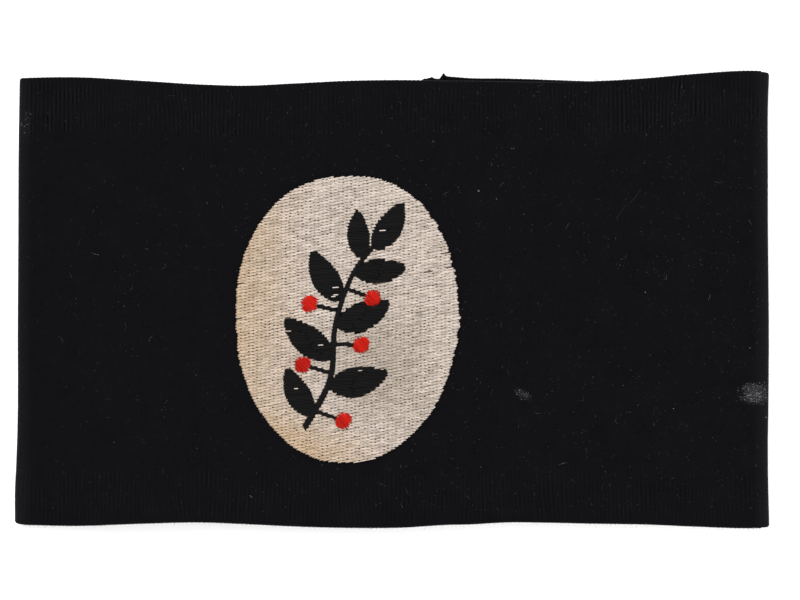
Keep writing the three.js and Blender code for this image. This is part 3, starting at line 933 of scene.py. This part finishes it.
def makeSmudges():
    patches = []
    for smudge in smudges["places"]:
        size = (smudge["count"], 1)
        spread = chance.random(size) ** smudges["gathered"] * chance.normal(1, smudges["edgeUneven"], size)
        around = chance.uniform(0, 2 * math.pi, smudge["count"])
        patch = heading(around) * spread * smudge["reach"]
        patches.append(turned(patch, smudge["turn"]) + (smudge["across"], smudge["along"]))
    places = np.concatenate(patches)
    places = places[np.abs(places[:, 0]) < halfLength * smudges["within"]]
    clumps = np.repeat(smudges["clumps"], smudges["clumpCount"], axis=0)
    places = np.concatenate([places, clumps + jitter(smudges["clumpSpread"], clumps.shape)])
    count = len(places)
    lengths = chance.uniform(*smudges["length"], count)
    lines = fibreLines(places, chance.uniform(0, math.pi, count), lengths, 0.03)
    girths = chance.uniform(*smudges["halfWidth"], count)
    girths[-len(clumps):] = smudges["clumpHalfWidth"]
    return strandMesh("smudges", lines, girths, girths, sides=3, endGirth=0.5)


fuzz = {
    "count": 3600,
    "halfWidth": 0.018,
    "length": (0.5, 1.3),
    "rimShare": 0.4,  # of the hairs that stand along the rims, pointing out past them
    "rimSpread": 0.006,
    "rimward": 1.6,
    "stray": 0.8,
    "curl": 0.35,
}


def makeFuzz():
    # fine dark hairs all round the band, thickest along the rims
    count = fuzz["count"]
    lengths = chance.uniform(0, stripLength, count)
    along = chance.uniform(-0.99, 0.99, count)
    rim = chance.random(count) < fuzz["rimShare"]
    along[rim] = np.sign(along[rim]) * (1 - np.abs(jitter(fuzz["rimSpread"], rim.sum())))
    root = stripPoint(lengths, along)
    run = unit(stripPoint(lengths + 0.3, along) - root)
    out = stacked(-run[:, 2], np.zeros(count), run[:, 0])
    outward = out + jitter(fuzz["stray"], (count, 3))
    outward[rim, 1] += np.sign(along[rim]) * fuzz["rimward"]
    outward = unit(outward)
    curl = jitter(fuzz["curl"], (count, 3))
    reach = chance.uniform(*fuzz["length"], count)[:, None, None]
    t = np.array([0, 0.5, 1])[None, :, None]
    lines = (root - out * 0.25)[:, None, :] + outward[:, None, :] * reach * t * 0.6
    lines = lines + curl[:, None, :] * reach * t**2 * 0.6
    lines[..., 2] = np.maximum(lines[..., 2], 0.03)
    up = np.cross(outward, jitter(1, (count, 3)))
    return strandMesh("fuzz", lines, fuzz["halfWidth"], fuzz["halfWidth"], sides=3, endGirth=0.6, up=up)


seam = {
    "rows": (4.9, 11.0),
    "ends": (2.5, 4.5),  # from the lower and the upper rim
    "stitch": 2.3,
    "pitch": 2.9,
    "halfWidth": 0.2,
    "halfHeight": 0.12,
}


def makeSeam():
    # two rows of stitches through both ends, seen below and inside the tube
    lines = []
    inside = 2 * band["borderWall"] + band["lapGap"]
    low, high = seam["ends"]
    for across in seam["rows"]:
        for foot in np.arange(low - halfHeight, halfHeight - high, seam["pitch"]):
            foot += jitter(0.1)
            y = foot + seam["stitch"] * np.array([0, 0.12, 0.5, 0.88, 1])
            x = across + jitter(0.08) + jitter(0.05) * np.array([-1, -0.8, 0, 0.8, 1])
            under = np.array([0.5, 0.16, 0.12, 0.16, 0.5])
            top = 2 * wallAt(y / halfHeight) + band["lapGap"] + np.array([-0.4, 0, 0.04, 0, -0.4])
            lines.append(stacked(x, y, under))
            lines.append(stacked(x, y, np.minimum(top, inside)))
    return strandMesh("seam_stitches", np.array(lines), seam["halfWidth"], seam["halfHeight"], 6, 0.5)


# Finishes

dull = {"Roughness": 0.9, "Specular IOR Level": 0.1}
noPlace = (0.0, 0.0, 0.0)


def newMaterial(name):
    material = bpy.data.materials.new(name)
    material.use_nodes = True
    return material, material.node_tree, material.node_tree.nodes["Principled BSDF"]


def setInputs(node, inputs):
    for key, value in inputs.items():
        if isinstance(value, bpy.types.NodeSocket):
            node.id_data.links.new(value, node.inputs[key])
        else:
            node.inputs[key].default_value = value


def addNode(tree, kind, inputs=None, **settings):
    node = tree.nodes.new("ShaderNode" + kind)
    for key, value in settings.items():
        setattr(node, key, value)
    setInputs(node, inputs or {})
    return node.outputs


def maths(operation, *values, kind="Math"):
    tree = next(value.id_data for value in values if isinstance(value, bpy.types.NodeSocket))
    return addNode(tree, kind, dict(enumerate(values)), operation=operation)[0]


def plus(*values):
    return maths("ADD", *values)


def minus(*values):
    return maths("SUBTRACT", *values)


def times(*values):
    return maths("MULTIPLY", *values)


def clamped(value):
    return addNode(value.id_data, "Clamp", {"Value": value})[0]


def ramp(value, start, end, least=0, most=1):
    return addNode(value.id_data, "MapRange", {
        "Value": value, "From Min": start, "From Max": end, "To Min": least, "To Max": most})[0]


def noise(vector, scale, detail, roughness=0.5):
    return addNode(vector.id_data, "TexNoise", {
        "Vector": vector, "Scale": scale, "Detail": detail, "Roughness": roughness})[0]


def bumped(height, strength, depth):
    return addNode(height.id_data, "Bump", {
        "Strength": strength, "Distance": depth * mm, "Height": height})[0]


def overlaid(factor, below, above):
    # inputs 6 and 7 and output 2 are the ones for colours
    return addNode(factor.id_data, "Mix", {0: factor, 6: below, 7: above}, data_type="RGBA")[2]


def newGroup(name, inputs, output):
    group = bpy.data.node_groups.new(name, "ShaderNodeTree")
    for socketName, value in inputs.items():
        kind = "NodeSocketVector" if isinstance(value, tuple) else "NodeSocketFloat"
        socket = group.interface.new_socket(socketName, in_out="INPUT", socket_type=kind)
        socket.default_value = value
    group.interface.new_socket(output, in_out="OUTPUT", socket_type="NodeSocketFloat")
    return group, group.nodes.new("NodeGroupInput").outputs, group.nodes.new("NodeGroupOutput")


def knitLoopGroup():
    # columns of V-shaped loops, from the strip's own UV map in metres
    group, given, out = newGroup("knitLoops", {
        "UV": noPlace, "Wale": knit["ribPitch"] * mm, "Course": knit["coursePitch"] * mm,
        "Slant": 1.3}, "Height")
    split = addNode(group, "SeparateXYZ", {0: given["UV"]})
    wale = maths("DIVIDE", split["X"], given["Wale"])
    fromMiddle = maths("ABSOLUTE", minus(maths("FRACT", wale), 0.5))
    course = maths("DIVIDE", split["Y"], given["Course"])
    leg = maths("FRACT", minus(course, times(fromMiddle, given["Slant"])))
    fromLeg = maths("ABSOLUTE", minus(leg, 0.5))
    ridge = minus(1.0, maths("POWER", times(fromLeg, 2.0), 2.0))
    bulge = maths("SINE", times(fromMiddle, 2 * math.pi))
    setInputs(out, {"Height": times(ridge, bulge)})
    return group


def dustGroup():
    # an oval film of dust that fades out at its edge and is broken up by a fine grain
    group, given, out = newGroup("dustFilm", {
        "Place": noPlace, "Middle": noPlace, "Turn": 0.0, "Reach": (0.003, 0.003, 0.01),
        "Edge": 1.15, "Fade": 2.2, "Grain": 3000.0, "Even": 0.57, "Break": 6.0}, "Mask")
    moved = maths("SUBTRACT", given["Place"], given["Middle"], kind="VectorMath")
    level = addNode(group, "VectorRotate", {
        "Vector": moved, "Angle": given["Turn"]}, rotation_type="Z_AXIS")[0]
    shares = maths("DIVIDE", level, given["Reach"], kind="VectorMath")
    away = addNode(group, "VectorMath", {0: shares}, operation="LENGTH")["Value"]
    near = times(minus(given["Edge"], away), given["Fade"])
    grain = times(minus(noise(given["Place"], given["Grain"], 3.0), given["Even"]), given["Break"])
    setInputs(out, {"Mask": clamped(plus(near, grain))})
    return group


def ribGroup():
    # the ribs' painted light: painted highlight on their ridges and painted shade in their grooves, from the
    # strip's UV map in metres and how clear they are at each place
    group, given, out = newGroup("ribShade", {
        "UV": noPlace, "Pitch": knit["ribPitch"] * mm, "Clear": 0.0, "Sharp": 1.7, "Level": 0.3,
        "Felt": 480.0}, "Ridge")
    split = addNode(group, "SeparateXYZ", {0: given["UV"]})
    turn = times(maths("DIVIDE", split["X"], given["Pitch"]), 2 * math.pi)
    wave = minus(0.5, times(maths("COSINE", turn), 0.5))
    ridge = minus(maths("POWER", wave, given["Sharp"]), given["Level"])
    stretched = maths("MULTIPLY", given["UV"], (1.0, 0.45, 1.0), kind="VectorMath")
    felted = ramp(noise(stretched, given["Felt"], 2.0), 0.4, 0.6, 0.1, 1.3)
    setInputs(out, {"Ridge": times(ridge, times(given["Clear"], felted))})
    return group


def threadGroup():
    # plies that wind round a thread, from its UV map: millimetres along, and once around
    group, given, out = newGroup("threadPlies", {
        "UV": noPlace, "Turns": 1.6, "Fibre": 9.0, "Fluff": 0.6}, "Height")
    split = addNode(group, "SeparateXYZ", {0: given["UV"]})
    wound = plus(times(split["X"], given["Turns"]), split["Y"])
    plies = maths("ABSOLUTE", maths("SINE", times(wound, 2 * math.pi)))
    setInputs(out, {"Height": plus(plies, times(noise(given["UV"], given["Fibre"], 2.0), given["Fluff"]))})
    return group


knitLoops, dustFilm, ribShade, threadPlies = knitLoopGroup(), dustGroup(), ribGroup(), threadGroup()

knitFinish = {
    "dark": (0.0007, 0.0006, 0.0010, 1),
    "light": (0.0044, 0.0042, 0.0050, 1),
    # painted highlight along the folds, where they turn away from the lamps, together with some wear of the
    # yarn there
    "wearAndFoldHighlight": (0.0090, 0.0088, 0.0100, 1),  # along the folds
    "dust": (0.046, 0.045, 0.050, 1),
    "cloudy": 0.6,
    "fluffy": 0.5,
    "ribContrast": 0.75,
    "bump": 0.5,
    "bumpDepth": 0.1,
    "fluffBump": 1.4,
    "surface": {"Roughness": 0.95, "Specular IOR Level": 0.015, "Sheen Weight": 0.04, "Sheen Roughness": 0.4},
}


def withFilm(colour, place, film, dirt, lift=0):
    # a film of dust or dirt over the colour, round its place on the cloth
    mask = addNode(place.id_data, "Group", {
        "Place": place,
        "Middle": tuple(raised(np.array([film["across"], film["along"]]), lift) * mm),
        "Turn": math.radians(-film["turn"]),
        "Reach": (film["reach"][0] * mm, film["reach"][1] * mm, 0.003),
    }, node_tree=dustFilm)["Mask"]
    return overlaid(times(mask, film["film"]), colour, dirt)


def knitMaterial():
    material, tree, shader = newMaterial("black_knit")
    uv = addNode(tree, "UVMap", uv_map="knit")["UV"]
    place = addNode(tree, "TexCoord")["Object"]
    clear = addNode(tree, "Attribute", attribute_name="ribs")["Fac"]
    pitch = stripLength / round(stripLength / knit["ribPitch"]) * mm
    ribs = addNode(tree, "Group", {"UV": uv, "Pitch": pitch, "Clear": clear}, node_tree=ribShade)["Ridge"]
    cloudy, fluff = noise(place, 160.0, 6.0, 0.7), noise(place, 2600.0, 3.0)
    mixed = plus(times(cloudy, knitFinish["cloudy"]), times(fluff, knitFinish["fluffy"]))
    # the ribs' painted highlight and painted shade go into the colour
    mixed = plus(mixed, times(ribs, knitFinish["ribContrast"]))
    colour = overlaid(clamped(mixed), knitFinish["dark"], knitFinish["light"])
    # the folds are lightened in the colour: painted highlight, with some wear
    sideways = maths("ABSOLUTE", addNode(tree, "SeparateXYZ", {0: place})["X"])
    fold = ramp(sideways, (flatHalf - 2) * mm, halfLength * mm)
    colour = overlaid(times(fold, fluff), colour, knitFinish["wearAndFoldHighlight"])
    for smudge in smudges["places"]:
        colour = withFilm(colour, place, smudge, knitFinish["dust"])
    loops = addNode(tree, "Group", {"UV": uv}, node_tree=knitLoops)["Height"]
    height = plus(loops, times(fluff, knitFinish["fluffBump"]))
    normal = bumped(height, knitFinish["bump"], knitFinish["bumpDepth"])
    setInputs(shader, {"Base Color": colour, "Normal": normal, **knitFinish["surface"]})
    return material


threadFinishes = {
    "cream_thread": {
        "shadow": (0.21, 0.175, 0.14, 1), "light": (0.53, 0.456, 0.405, 1), "cloudy": 0.2,
        "surface": {"Roughness": 0.62, "Specular IOR Level": 0.25},
    },
    "black_thread": {
        "shadow": (0.0015, 0.0013, 0.0014, 1), "light": (0.0041, 0.0036, 0.0036, 1), "cloudy": 0.4,
        "surface": {"Roughness": 0.6, "Specular IOR Level": 0.06},
    },
    "red_thread": {
        "shadow": (0.13, 0.002, 0.001, 1), "light": (0.42, 0.009, 0.004, 1), "cloudy": 0.4,
        "surface": {"Roughness": 0.6, "Specular IOR Level": 0.06},
    },
}
threadRelief = {"toneShare": 0.55, "plyShadeShare": 0.2, "bump": 0.4, "bumpDepth": 0.04}
stain = {
    "colour": (0.34, 0.18, 0.02, 1),
    "strength": 0.4,
    "fade": 20,  # to the right, from the badge's left edge
    "below": (32, 21),  # full this far under the badge's middle, and faint from here up
    "amount": (1.12, 0.1),
    "soiled": [
        {"across": 7.1, "along": -3.8, "reach": (1.5, 1.1), "turn": 0, "film": 0.3,
         "colour": (0.11, 0.11, 0.085, 1)},
        {"across": -3.2, "along": -16.5, "reach": (16.0, 18.5), "turn": 0, "film": 0.4,
         "colour": (0.19, 0.155, 0.11, 1)},
    ],
}


def stainedColour(colour, place):
    # age has yellowed the badge most along its left and its lower end
    split = addNode(place.id_data, "SeparateXYZ", {0: place})
    left, middle = badge["middle"][0] - badge["width"] / 2, badge["middle"][1]
    across = times(minus(split["X"], left * mm), -1 / (stain["fade"] * mm))
    start, end = ((middle - below) * mm for below in stain["below"])
    lower = ramp(split["Y"], start, end, *stain["amount"])
    raw = plus(plus(across, lower), times(noise(place, 90.0, 3.0), 0.5))
    colour = overlaid(times(clamped(plus(raw, 0.62)), stain["strength"]), colour, stain["colour"])
    for soil in stain["soiled"]:
        colour = withFilm(colour, place, soil, soil["colour"], badge["lift"])
    return colour


def threadMaterial(name, stained=False):
    finish = threadFinishes[name]
    material, tree, shader = newMaterial(name)
    uv = addNode(tree, "UVMap", uv_map="thread")["UV"]
    place = addNode(tree, "TexCoord")["Object"]
    tone = addNode(tree, "Attribute", attribute_name="tone")["Fac"]
    plies = addNode(tree, "Group", {"UV": uv}, node_tree=threadPlies)["Height"]
    # the thread's colour runs from its painted shadow to its lit colour by each strand's random tone, with
    # painted shade in the grooves between the plies and a cloudy mottling
    shade = plus(times(tone, threadRelief["toneShare"]), times(plies, threadRelief["plyShadeShare"]))
    shade = plus(shade, times(noise(place, 220.0, 4.0), finish["cloudy"]))
    colour = overlaid(clamped(shade), finish["shadow"], finish["light"])
    if stained:
        colour = stainedColour(colour, place)
    normal = bumped(plies, threadRelief["bump"], threadRelief["bumpDepth"])
    setInputs(shader, {"Base Color": colour, "Normal": normal, **finish["surface"]})
    return material


def fibreMaterial(name, dark, light, rarity):
    material, tree, shader = newMaterial(name)
    tone = addNode(tree, "Attribute", attribute_name="tone")["Fac"]
    few = maths("POWER", tone, rarity)  # most are dark, a few are pale
    setInputs(shader, {"Base Color": overlaid(few, dark, light), **dull})
    return material


# near black: painted shade for the needle holes and the gaps between the threads
def shadowUnderlayMaterial():
    material, tree, shader = newMaterial("shadow_underlay")
    grain = noise(addNode(tree, "TexCoord")["Object"], 1800.0, 2.0)
    colour = overlaid(grain, (0.012, 0.009, 0.007, 1), (0.07, 0.05, 0.035, 1))
    setInputs(shader, {"Base Color": colour, "Roughness": dull["Roughness"]})
    return material


def dress(piece, material, slot, *nodes):
    piece.data.materials.append(material)
    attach(piece, "root")
    if nodes:
        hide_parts(*nodes)


makeStudio()
strip = makeKnit()
dress(strip, knitMaterial(), "black_knit", "band")

pad, ground, leafwork, flecks = makeBadge()
creamThread = threadMaterial("cream_thread", stained=True)
blackThread = threadMaterial("black_thread")
redThread = threadMaterial("red_thread")
dress(pad, shadowUnderlayMaterial(), "cream_thread")
dress(ground, creamThread, "cream_thread", "badge")
dress(leafwork, blackThread, "black_thread", "sprig")
dress(flecks, creamThread, "cream_thread")
berryPieces = [makeBerry(f"berry_stitches_{k + 1}", middle) for k, middle in enumerate(berryMiddles)]
for k, piece in enumerate(berryPieces):
    dress(piece, redThread, "red_thread", f"berry_{k + 1}")

stitches = makeSeam()
dress(stitches, blackThread, "black_knit")
fluff = makeLint()
dress(fluff, fibreMaterial("lint", (0.006, 0.006, 0.007, 1), (0.12, 0.117, 0.123, 1), 2.4), "black_knit")
specks = makeSmudges()
dress(specks, fibreMaterial("dust", (0.012, 0.012, 0.014, 1), (0.44, 0.43, 0.45, 1), 3.2), "black_knit")
hairs = makeFuzz()
dress(hairs, fibreMaterial("fuzz", (0.0025, 0.0025, 0.003, 1), (0.012, 0.012, 0.014, 1), 3.0), "black_knit")
